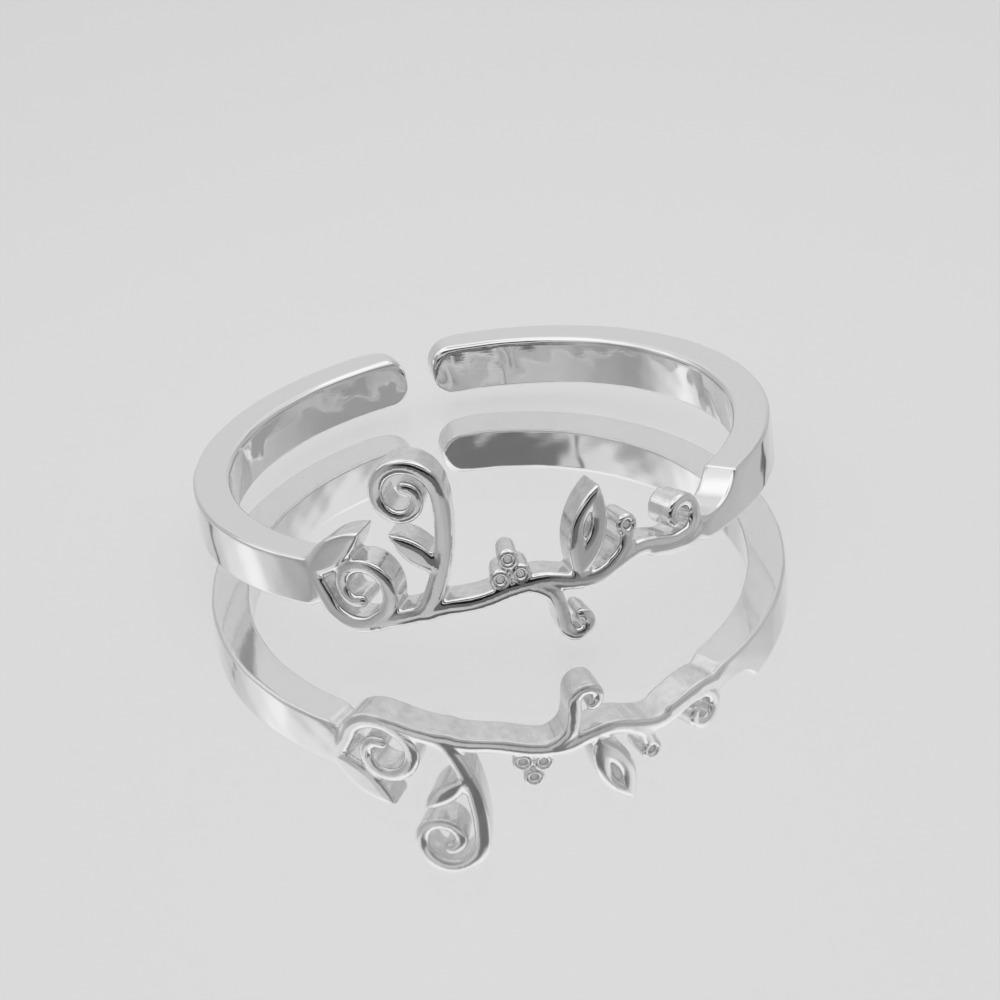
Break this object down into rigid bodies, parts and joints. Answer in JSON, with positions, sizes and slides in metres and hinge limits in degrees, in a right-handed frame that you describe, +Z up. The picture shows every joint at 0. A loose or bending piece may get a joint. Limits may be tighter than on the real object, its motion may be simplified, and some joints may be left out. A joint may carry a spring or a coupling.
{
  "type": "name ring",
  "caption": "Open finger ring, cast in one piece, with a pierced vine scrollwork front between two shoulders and two rounded free ends at the back.",
  "frame": {"origin": "on the surface that the ring lies on, under the middle of the ring", "axes": "+Z up from that surface, close to the ring's own axis; -Y towards the scrollwork front, with the gap at +Y; +X to the right, seen from the front"},
  "size_m": [0.02, 0.02, 0.0073],
  "materials": {
    "silver": "high polish"
  },
  "bodies": {
    "root": {"scroll_ring": "silver"}
  },
  "joints": []
}
